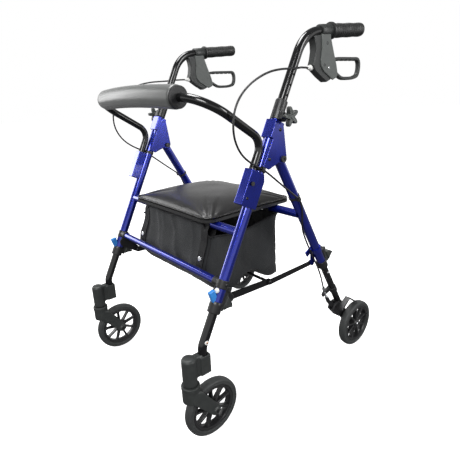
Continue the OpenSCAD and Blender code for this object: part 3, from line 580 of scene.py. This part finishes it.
# ---------------------------------------------------------------- brake cables
CABLE = [(255, 70, 862), (255, 56, 862), (258.5, 42, 862), (263.5, 26, 861.5), (269.5, 10, 861), (273, -10, 859), (274.5, -28, 858), (276, -64, 856), (278, -98, 851), (279, -130, 841),
         (279, -160, 826), (279, -185, 806), (279, -202, 781), (279, -209, 753), (278, -207, 726), (276.5, -197, 702), (275, -181, 682),
         (274, -160, 666), (273.6, -140, 655), (273.6, -121, 645), (273.6, -96, 628), (273.6, -64, 604), (274, -36, 583),
         (274, -14, 567), (274, 6, 551.5), (274, 15, 538), (272.5, 22, 520), (268.5, 28, 500), (262, 36, 476), (256, 48, 450),
         (252, 70, 412), (252, 88, 381), (252, 106, 350), (252, 124, 319), (252.5, 138, 290), (253.5, 147, 262), (254.5, 155, 237)]


for s, k in SIDES:
    for name, i0, i1, a, b in (("upper", 0, 19, "front_frame", "handle_" + s), ("middle", 19, 24, "front_frame", "rear_frame"), ("lower", 24, 36, "rear_frame", "rear_leg_" + s)):
        whole = [(x * k, y, z) for x, y, z in CABLE]
        pts = curve_points(whole, 5)
        # cut the smooth curve at the clips
        P0, P1 = mm(*whole[i0]), mm(*whole[i1])
        j0 = min(range(len(pts)), key=lambda j: (pts[j] - P0).length)
        j1 = min(range(len(pts)), key=lambda j: (pts[j] - P1).length)
        run = pts[j0:j1 + 1]
        o = sweep("cable_%s_%s" % (name, s), run, 2.3, JACKET, None, n=14, slot="cable_jacket")
        if name == "upper":
            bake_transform(o)
        elif name == "middle":
            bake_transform(o)
        else:
            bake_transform(o)
        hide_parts("brake_cable_" + s)
    # ferrule and bare wire at the lower end
    e = mm(254.5 * k, 155, 237)
    lathe("cable_ferrule_" + s, [(2.4, 8), (4.2, 7.6), (4.6, 6), (4.6, -1), (3.6, -2.6), (3.6, -7), (1.6, -8)], e, (0.04 * k, -0.28, 0.95), STEEL, "rear_leg_" + s, 28)
    sweep("brake_wire_" + s, curve_points([(254.5 * k, 155, 233), (255 * k, 161, 221), (255 * k, 166, 212), (255 * k, 170, 205)], 3), 0.9, STEEL, "rear_leg_" + s, n=10)
    # return spring round the wire
    A, B = mm(255 * k, 158, 226), mm(255 * k, 170, 206)
    d = (B - A)
    u = Vector((1, 0, 0))
    w = d.normalized().cross(u)
    sp = [A + d * (i / 96) + (u * math.cos(i * 2 * math.pi / 12) + w * math.sin(i * 2 * math.pi / 12)) * 0.0034 for i in range(97)]
    sweep("brake_spring_" + s, sp, 0.6, STEEL, "rear_leg_" + s, n=8)


# ---------------------------------------------------------------- backrest pad
R_PAD = 25.5
RISE = math.radians(31.5)


def back_pt(x, k):
    return mm(x, -120 - math.cos(RISE) * k, 715 + math.sin(RISE) * k)


# the arch meets the sockets at k_c, bends 35 mm, runs 82 mm, turns at 75 mm and crosses over in one long arc
S0 = (-257.6 - 24 * CL, 351.4 + 24 * SL)
BD = (-math.cos(RISE), math.sin(RISE))
det = -SL * BD[1] + BD[0] * CL
k_c = (SL * (715 - S0[1]) - CL * (-120 - S0[0])) / det
turn = math.acos(SL * BD[0] + CL * BD[1])
k_2 = k_c + 35 * math.tan(turn / 2) + 82
A7 = math.radians(7.5)
mid_c = 258 - 75 + 75 * math.sin(A7)
R_mid = mid_c / math.sin(A7)
k_mid = k_2 + 75 * math.cos(A7) + R_mid * (1 - math.cos(A7))
half = math.asin(172 / R_mid)
pts, rad = [], []
M = 64
for i in range(M + 1):
    f = -1 + 2 * i / M
    # points crowd at the ends, where the foam's edge is rounded
    f = math.copysign(1 - (1 - abs(f)) ** 1.5, f)
    a = half * f
    pts.append(back_pt(R_mid * math.sin(a), k_mid - R_mid * (1 - math.cos(a))))
    d = (1 - abs(f)) * 172
    r = R_PAD - (1.6 * (1 - d / 4) ** 2 if d < 4 else 0)
    rad.append(r)
pad = sweep("backrest_foam", pts, rad, FOAM, None, n=64, slot="foam", hole=9.7)
pad.data.materials.append(PLASTIC)
for p in pad.data.polygons:
    for e, q in ((pts[0], (pts[1] - pts[0]).normalized()), (pts[-1], (pts[-1] - pts[-2]).normalized())):
        if abs(p.normal.dot(q)) > 0.8 and (p.center - e).length < 0.03 and abs((p.center - e).dot(q)) < 0.0015:
            p.material_index = 1
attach(pad, "backrest")
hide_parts("backrest_pad")


# ---------------------------------------------------------------- seat cushion
def cushion():
    W, Y0, Y1 = 177, -215, 83
    n, m = 44, 38
    verts, faces = [], []

    def place(u, v):
        # rounded rectangle, with sides that pull in a little between the corners
        x, y = u * W, (Y0 + Y1) / 2 + v * (Y1 - Y0) / 2
        x -= math.copysign(3.2 * (1 - v * v) * abs(u) ** 3, u)
        y -= math.copysign(3.0 * (1 - u * u) * abs(v) ** 3, v)
        cx, cy = max(0, abs(u) - 0.86) / 0.14, max(0, abs(v) - 0.83) / 0.17
        q = math.hypot(cx, cy)
        if cx > 0 and cy > 0 and q > 1e-6:
            sc = max(cx, cy) / q
            x = math.copysign(W * (0.86 + 0.14 * cx * sc), u)
            y = (Y0 + Y1) / 2 + math.copysign((Y1 - Y0) / 2 * (0.83 + 0.17 * cy * sc), v)
        return x, y

    for layer in (0, 1):
        for j in range(m + 1):
            for i in range(n + 1):
                u, v = -1 + 2 * i / n, -1 + 2 * j / m
                x, y = place(u, v)
                if layer:
                    e = (1 - u ** 4) * (1 - v ** 4)
                    z = 526.5 + 16.5 * max(0.0, e) ** 0.36 + 9 * (1 - u * u) * (1 - v * v)
                else:
                    z = 523.6
                verts.append(mm(x, y, z))
    S = (n + 1) * (m + 1)
    for j in range(m):
        for i in range(n):
            a = j * (n + 1) + i
            faces.append((a, a + n + 1, a + n + 2, a + 1))
            faces.append((S + a, S + a + 1, S + a + n + 2, S + a + n + 1))
    for i in range(n):
        faces.append((i, i + 1, S + i + 1, S + i))
        a = m * (n + 1) + i
        faces.append((a + 1, a, S + a, S + a + 1))
    for j in range(m):
        a = j * (n + 1)
        faces.append((a + n + 1, a, S + a, S + a + n + 1))
        b = a + n
        faces.append((b, b + n + 1, S + b + n + 1, S + b))
    o = make("seat_cushion", verts, faces, VINYL)
    r = o.modifiers.new("remesh", "REMESH")
    r.mode = "VOXEL"
    r.voxel_size = 0.005
    bake(o)
    rest = [v.co.copy() for v in o.data.vertices]
    g = o.vertex_groups.new(name="held")
    g.add([i for i, p in enumerate(rest) if p.z < 0.5265], 1.0, "REPLACE")
    c = o.modifiers.new("cloth", "CLOTH")
    c.settings.use_pressure = True
    c.settings.uniform_pressure_force = 4
    c.settings.vertex_group_mass = "held"
    c.settings.effector_weights.gravity = 0
    c.settings.quality = 5
    c.settings.tension_stiffness = 12
    c.settings.compression_stiffness = 12
    c.point_cache.frame_start, c.point_cache.frame_end = 1, 20
    for f in range(1, 21):
        scn.frame_set(f)
    bake(o)
    scn.frame_set(1)
    for v, p in zip(o.data.vertices, rest):
        d = v.co - p
        if d.length > 0.006:
            d *= 0.006 / d.length
        q = p + d
        if q.z > 0.542:
            q.z = 0.542 + 0.0150 * (1 - math.exp((0.542 - q.z) / 0.0150))
        q.z = max(q.z, 0.5232)
        v.co = q
    # shallow dents and drawn corners of stretched vinyl
    for v in o.data.vertices:
        p = v.co
        if p.z > 0.530:
            q = noise.noise(Vector((p.x * 14, p.y * 14, 3.1)))
            p.z += 0.0011 * q
            cx, cy = abs(p.x) / 0.177, abs(p.y + 0.066) / 0.149
            w = max(0, cx * cy - 0.45)
            ang = math.atan2(cy - 0.2, cx - 0.2)
            p.z += 0.0012 * w * math.sin(ang * 16)
    o.data.materials.clear()
    o.data.materials.append(VINYL)
    for p in o.data.polygons:
        p.use_smooth = True
    sub = o.modifiers.new("sub", "SUBSURF")
    sub.levels = sub.render_levels = 1
    bake(o)
    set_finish(o, "seat_vinyl")
    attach(o, "seat")
    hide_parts("seat_pad")
    # welted seam round the lower edge
    ring = []
    for i in range(240):
        a = 2 * math.pi * i / 240
        c, sn = math.cos(a), math.sin(a)
        q = max(abs(c), abs(sn))
        u, v = c / q, sn / q
        x, y = place(u, v)
        ring.append((x * 1.004, -66 + (y + 66) * 1.004, 527.2))
    pts = [mm(*p) for p in ring] + [mm(*ring[0])]
    sweep("seat_welt", pts, 2.1, VINYL, "seat", n=12, slot="seat_vinyl")
    return o


cushion()


# ---------------------------------------------------------------- bag
def zb(y):
    T = [(-224, 404), (-219, 372), (-205, 345), (-184, 324), (-158, 311), (-130, 309), (-105, 319), (-84, 336), (-62.5, 343), (-42, 336), (-22, 316), (4, 300), (42, 300)]
    for (a, za), (b, zc) in zip(T, T[1:]):
        if y <= b:
            t = max(0, (y - a) / (b - a))
            t = t * t * (3 - 2 * t) * 0.4 + t * 0.6
            return za + (zc - za) * t
    return T[-1][1]


def front_wall(z):
    T = [(385, -222), (410, -219), (436, -208), (456, -200), (503, -196.5)]
    for (a, ya), (b, yb) in zip(T, T[1:]):
        if z <= b:
            return ya + (yb - ya) * max(0, (z - a) / (b - a))
    return T[-1][1]


def bag():
    nx, ny, nz = 52, 44, 26
    idx, verts, faces = {}, [], []

    def vid(i, j, k):
        key = (i, j, k)
        if key not in idx:
            u, w, h = i / nx, j / ny, k / nz
            y = -222 + 262 * w
            x = -169 + 338 * u
            edge = min(1, max(0, (abs(x) - 134) / 26))
            top = 502 - 16 * w - 27 * edge * edge * (3 - 2 * edge) * (1 - w) ** 2 - 24 * math.sin(math.pi * w) ** 1.3
            z = zb(y) + (top - zb(y)) * h
            y += (front_wall(z) + 222) * (1 - w) ** 2
            # cloth falls in at mid height between the corners
            if i in (0, nx):
                x += (-1 if i else 1) * (7 * math.sin(math.pi * w) * h - 3 * math.sin(math.pi * h))
            if j in (0, ny):
                y += (-1 if j else 1) * (5 * (1 - (2 * u - 1) ** 2) * h ** 1.5 * (1 if j else 0) - 2 * math.sin(math.pi * h))
            verts.append(mm(x, y, z))
            idx[key] = len(verts) - 1
        return idx[key]

    for i in range(nx):
        for j in range(ny):
            faces.append((vid(i, j, 0), vid(i, j + 1, 0), vid(i + 1, j + 1, 0), vid(i + 1, j, 0)))
    for k in range(nz):
        for i in range(nx):
            faces.append((vid(i, 0, k), vid(i + 1, 0, k), vid(i + 1, 0, k + 1), vid(i, 0, k + 1)))
            faces.append((vid(i, ny, k), vid(i, ny, k + 1), vid(i + 1, ny, k + 1), vid(i + 1, ny, k)))
        for j in range(ny):
            faces.append((vid(0, j, k), vid(0, j, k + 1), vid(0, j + 1, k + 1), vid(0, j + 1, k)))
            faces.append((vid(nx, j, k), vid(nx, j + 1, k), vid(nx, j + 1, k + 1), vid(nx, j, k + 1)))
    rim = {v for (i, j, k), v in idx.items() if k == nz}
    nb = [set() for _ in verts]
    for f in faces:
        for a, b in zip(f, f[1:] + f[:1]):
            nb[a].add(b)
            nb[b].add(a)
    for _ in range(7):
        verts = [v if i in rim else v * 0.45 + sum((verts[j] for j in nb[i]), Vector()) * (0.55 / len(nb[i])) for i, v in enumerate(verts)]
    out = []
    for i, v in enumerate(verts):
        h = (v.z * 1000 - 300) / 160
        d = Vector((v.x, v.y + 0.099, 0))
        d.normalize()
        low = noise.noise(Vector((v.x * 9, v.y * 9, v.z * 13)))
        fine = noise.noise(Vector((v.x * 26 + 5, v.y * 26, v.z * 10)))
        drawn = math.sin(v.x * 60 + v.z * 35) * 0.5
        # long soft folds that hang from the corners, and creases low on the walls
        fold = (1 - abs(noise.noise(Vector((v.x * 17 + v.z * 5, v.y * 17 - v.z * 4, v.z * 4 + 2))))) ** 4
        crease = (1 - abs(noise.noise(Vector((v.x * 12 + 9, v.y * 12 + v.z * 9, v.z * 15))))) ** 6
        amp = 0.0055 * low + 0.0020 * fine + 0.0009 * drawn + 0.0034 * (fold - 0.45) - 0.0026 * (crease - 0.3) * max(0.0, 1 - h)
        if i in rim:
            amp *= 0.35
        q = v + d * (amp - 0.0015)
        q.z += 0.002 * noise.noise(Vector((v.x * 11, v.y * 11, 7)))
        if v.z < 0.38 and abs(v.y + 0.0625) < 0.03:
            q.z = max(q.z, 0.3385)
        out.append(q)
    o = make("bag_cloth", out, faces, FABRIC, slot="bag_fabric")
    s = o.modifiers.new("thick", "SOLIDIFY")
    s.thickness = 0.0016
    s.offset = -1
    sub = o.modifiers.new("sub", "SUBSURF")
    sub.levels = sub.render_levels = 1
    bake(o)
    for p in o.data.polygons:
        p.use_smooth = True
    # rim hem as a rolled binding
    loop = [out[vid(i, 0, nz)] for i in range(nx + 1)] + [out[vid(nx, j, nz)] for j in range(1, ny + 1)] + [out[vid(i, ny, nz)] for i in range(nx - 1, -1, -1)] + [out[vid(0, j, nz)] for j in range(ny - 1, 0, -1)]
    loop = loop + [loop[0]]
    hem = sweep("bag_hem", loop, 2.4, WEB, None, n=12, slot="bag_fabric")
    # corner seams down the bag
    seams = []
    for n_, (i, j) in enumerate(((0, 0), (nx, 0), (0, ny), (nx, ny))):
        line = [out[vid(i, j, k)] for k in range(nz, -1, -1)]
        seams.append(sweep("bag_seam_%d" % n_, line, 1.5, WEB, None, n=10, slot="bag_fabric"))
    for c in [o, hem] + seams:
        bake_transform(c)
    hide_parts("storage_bag")
    return out, vid, nx, ny, nz


BAG, vid, nx, ny, nz = bag()


def strap(name, path, xc, w, mat, body, t=1.5):
    """Flat webbing along (y, z) points in mm, w wide at x = xc."""
    P = [Vector((0, y, z)) for y, z in path]
    n = len(P)
    verts, faces = [], []
    for i, p in enumerate(P):
        tan = (P[min(i + 1, n - 1)] - P[max(i - 1, 0)]).normalized()
        nrm = Vector((0, -tan.z, tan.y))
        for sx, sn in ((-1, -1), (1, -1), (1, 1), (-1, 1)):
            q = p + nrm * (sn * t / 2)
            verts.append(mm(xc + sx * w / 2, q.y, q.z))
    for i in range(n - 1):
        for e in range(4):
            faces.append((4 * i + e, 4 * i + (e + 1) % 4, 4 * i + 4 + (e + 1) % 4, 4 * i + 4 + e))
    faces += [(3, 2, 1, 0), tuple(4 * n - 4 + e for e in range(4))]
    return make(name, verts, faces, mat, body, bevel=0.5, seg=2, slot="bag_fabric")


def on_cloth(xc, wall, w, off):
    """(y, z) points in mm down the outside of a bag wall under a strap w wide."""
    cols = [i for i in range(nx + 1) if abs(BAG[vid(i, wall, nz)].x * 1000 - xc) <= w / 2 + 4]
    sgn = -1 if wall == 0 else 1
    raw = []
    for h in range(nz, -1, -1):
        raw.append((sgn * max(sgn * BAG[vid(i, wall, h)].y * 1000 for i in cols) + sgn * off, sum(BAG[vid(i, wall, h)].z for i in cols) * 1000 / len(cols)))
    return raw


for s, k in SIDES:
    xc = 144 * k
    # front strap: from its snap up the front of the bag and over the seat bar
    down = [p for p in on_cloth(xc, 0, 26, 2.0) if 394 < p[1] < 480]
    arc = [(-180 + 11.7 * math.cos(a), 504 + 11.7 * math.sin(a)) for a in [math.radians(d) for d in range(190, -31, -20)]]
    strap("front_strap_" + s, down[::-1] + [(down[0][0] + 1.5, 489), (-194.5, 497)] + arc + [(-170.5, 490), (-173, 480), (-180, 471), (-186, 460)], xc, 26, WEB, "front_frame", 1.1)
    near = min(down, key=lambda p: abs(p[1] - 416))
    lathe("front_snap_" + s, [(0.1, 4.3), (2.4, 4.2), (3.0, 3.4), (4.4, 3.6), (6.2, 2.8), (6.6, 1.0), (6.6, -1)], mm(xc, near[0], near[1]), (0, -1, 0.3), STEEL, "front_frame", 32)
    rdown = [p for p in on_cloth(xc, ny, 24, 2.0) if 415 < p[1] < 472]
    arc2 = [(29 + 11.7 * math.cos(a), 504 + 11.7 * math.sin(a)) for a in [math.radians(d) for d in range(-10, 201, 20)]]
    strap("rear_strap_" + s, rdown[::-1] + [(rdown[0][0] + 1, 480), (40.2, 492)] + arc2 + [(17.5, 492), (16.5, 482), (17.5, 468)], xc, 24, WEB, "rear_frame", 1.1)
    near = min(rdown, key=lambda p: abs(p[1] - 432))
    lathe("rear_snap_" + s, [(0.1, 3.8), (2.4, 3.7), (3.0, 3.0), (4.4, 3.2), (6.0, 2.4), (6.4, 0.8), (6.4, -1)], mm(xc, near[0], near[1]), (0, 1, 0), STEEL, "rear_frame", 32)


# ---------------------------------------------------------------- small hardware
for s, k in SIDES:
    # rivets of the gusset and button of the socket
    for i, (y, st) in enumerate(((8, 425), (4, 352))):
        lathe("gusset_rivet_%d_%s" % (i, s), [(0.1, 18.2), (2.6, 18.0), (4.0, 17.0), (4.4, 15.9)], front(255 * k, y, st), (k, 0, 0), DARKSTEEL, "front_frame", 28)
    lathe("socket_rivet_" + s, [(0.1, 18.0), (2.2, 17.9), (3.2, 17.0), (3.6, 15.9)], front(255 * k, -25, 250), (k, 0, 0), DARKSTEEL, "front_frame", 28)
    lathe("brace_mid_pin_" + s, [(0.1, 6.4), (4, 6.2), (5.6, 5.0), (6, 0.2)], mm(235 * k, -62.5, 331), (k, 0, 0), DARKSTEEL, "brace_front", 28)
    lathe("brace_rear_pin_" + s, [(0.1, 3.4), (4, 3.3), (5.4, 2.4), (5.8, 0.0)], mm(231.8 * k, 112, 334.5), (-k, 0, 0), DARKSTEEL, "rear_frame", 28)
    # adjuster block seen beside the lower collar
    slab("collar_clip_" + s, [(-279, 384), (-264, 388), (-257, 364), (-271, 358)], (255 - 5) * k, (255 + 6) * k, CLIP, "front_frame", bevel=1.4)


# ---------------------------------------------------------------- stage, light and camera
bpy.ops.mesh.primitive_plane_add(size=40, location=(0, 0, -0.0002))
floor = bpy.context.object
floor.name = "floor"
fm = bpy.data.materials.new("floor")
fm.use_nodes = True
fm.node_tree.nodes["Principled BSDF"].inputs["Base Color"].default_value = (0.93, 0.93, 0.93, 1)
fm.node_tree.nodes["Principled BSDF"].inputs["Roughness"].default_value = 0.9
fm.node_tree.nodes["Principled BSDF"].inputs["Emission Color"].default_value = (1, 1, 1, 1)
fm.node_tree.nodes["Principled BSDF"].inputs["Emission Strength"].default_value = 0.78
floor.data.materials.append(fm)
floor.visible_glossy = False
floor.visible_diffuse = False
world = bpy.data.worlds.new("studio")
scn.world = world
world.use_nodes = True
# a white studio wall all round, and a dimmer ceiling that black paint can mirror
wn, wl = world.node_tree.nodes, world.node_tree.links
wc, wx, wr_ = wn.new("ShaderNodeTexCoord"), wn.new("ShaderNodeSeparateXYZ"), wn.new("ShaderNodeValToRGB")
wl.new(wc.outputs["Generated"], wx.inputs[0])
wm = wn.new("ShaderNodeMapRange")
wm.inputs["From Min"].default_value = -1
wm.inputs["From Max"].default_value = 1
wl.new(wx.outputs["Z"], wm.inputs["Value"])
wl.new(wm.outputs["Result"], wr_.inputs["Fac"])
wr_.color_ramp.elements[0].position = 0.425
wr_.color_ramp.elements[0].color = (0.16, 0.16, 0.165, 1)
wr_.color_ramp.elements[1].position = 0.465
wr_.color_ramp.elements[1].color = (1, 1, 1, 1)
for pos, c in ((0.62, 1.0), (0.70, 0.20)):
    el = wr_.color_ramp.elements.new(pos)
    el.color = (c, c, c, 1)
wl.new(wr_.outputs["Color"], wn["Background"].inputs["Color"])
wn["Background"].inputs["Strength"].default_value = 1.0


def area(name, loc, target, size, power):
    d = bpy.data.lights.new(name, "AREA")
    d.shape = "RECTANGLE"
    d.size, d.size_y = size
    d.energy = power
    o = bpy.data.objects.new(name, d)
    o.location = loc
    o.rotation_euler = (Vector(target) - Vector(loc)).to_track_quat("-Z", "Y").to_euler()
    scn.collection.objects.link(o)


area("key", (1.6, -2.4, 2.6), (0, 0, 0.5), (1.4, 1.4), 85)
area("side", (2.8, 1.2, 1.6), (0, 0, 0.5), (0.7, 2.2), 48)
area("top", (-0.6, -0.2, 3.2), (0, 0, 0.4), (1.6, 1.0), 70)
area("left", (-2.6, -1.2, 1.4), (0, 0, 0.5), (0.8, 2.0), 26)

a, e, r = math.radians(50.12), math.radians(18.61), math.radians(-2.17)
back = Vector((math.sin(a) * math.cos(e), -math.cos(a) * math.cos(e), math.sin(e)))
fwd = -back
right = fwd.cross(Vector((0, 0, 1))).normalized()
up = right.cross(fwd)
right2 = right * math.cos(r) + up * math.sin(r)
up2 = -right * math.sin(r) + up * math.cos(r)
cam = bpy.data.cameras.new("camera")
cam.sensor_width = 36
cam.sensor_fit = "HORIZONTAL"
cam.lens = 395.75 / 460 * 36
cam.clip_start = 0.01
cam.clip_end = 100
co = bpy.data.objects.new("camera", cam)
mw = Matrix((right2, up2, -fwd)).transposed().to_4x4()
mw.translation = mm(905.67, -752.0, 803.44)
co.matrix_world = mw
scn.collection.objects.link(co)
scn.camera = co
scn.view_settings.view_transform = "Standard"

bpy.context.view_layer.update()
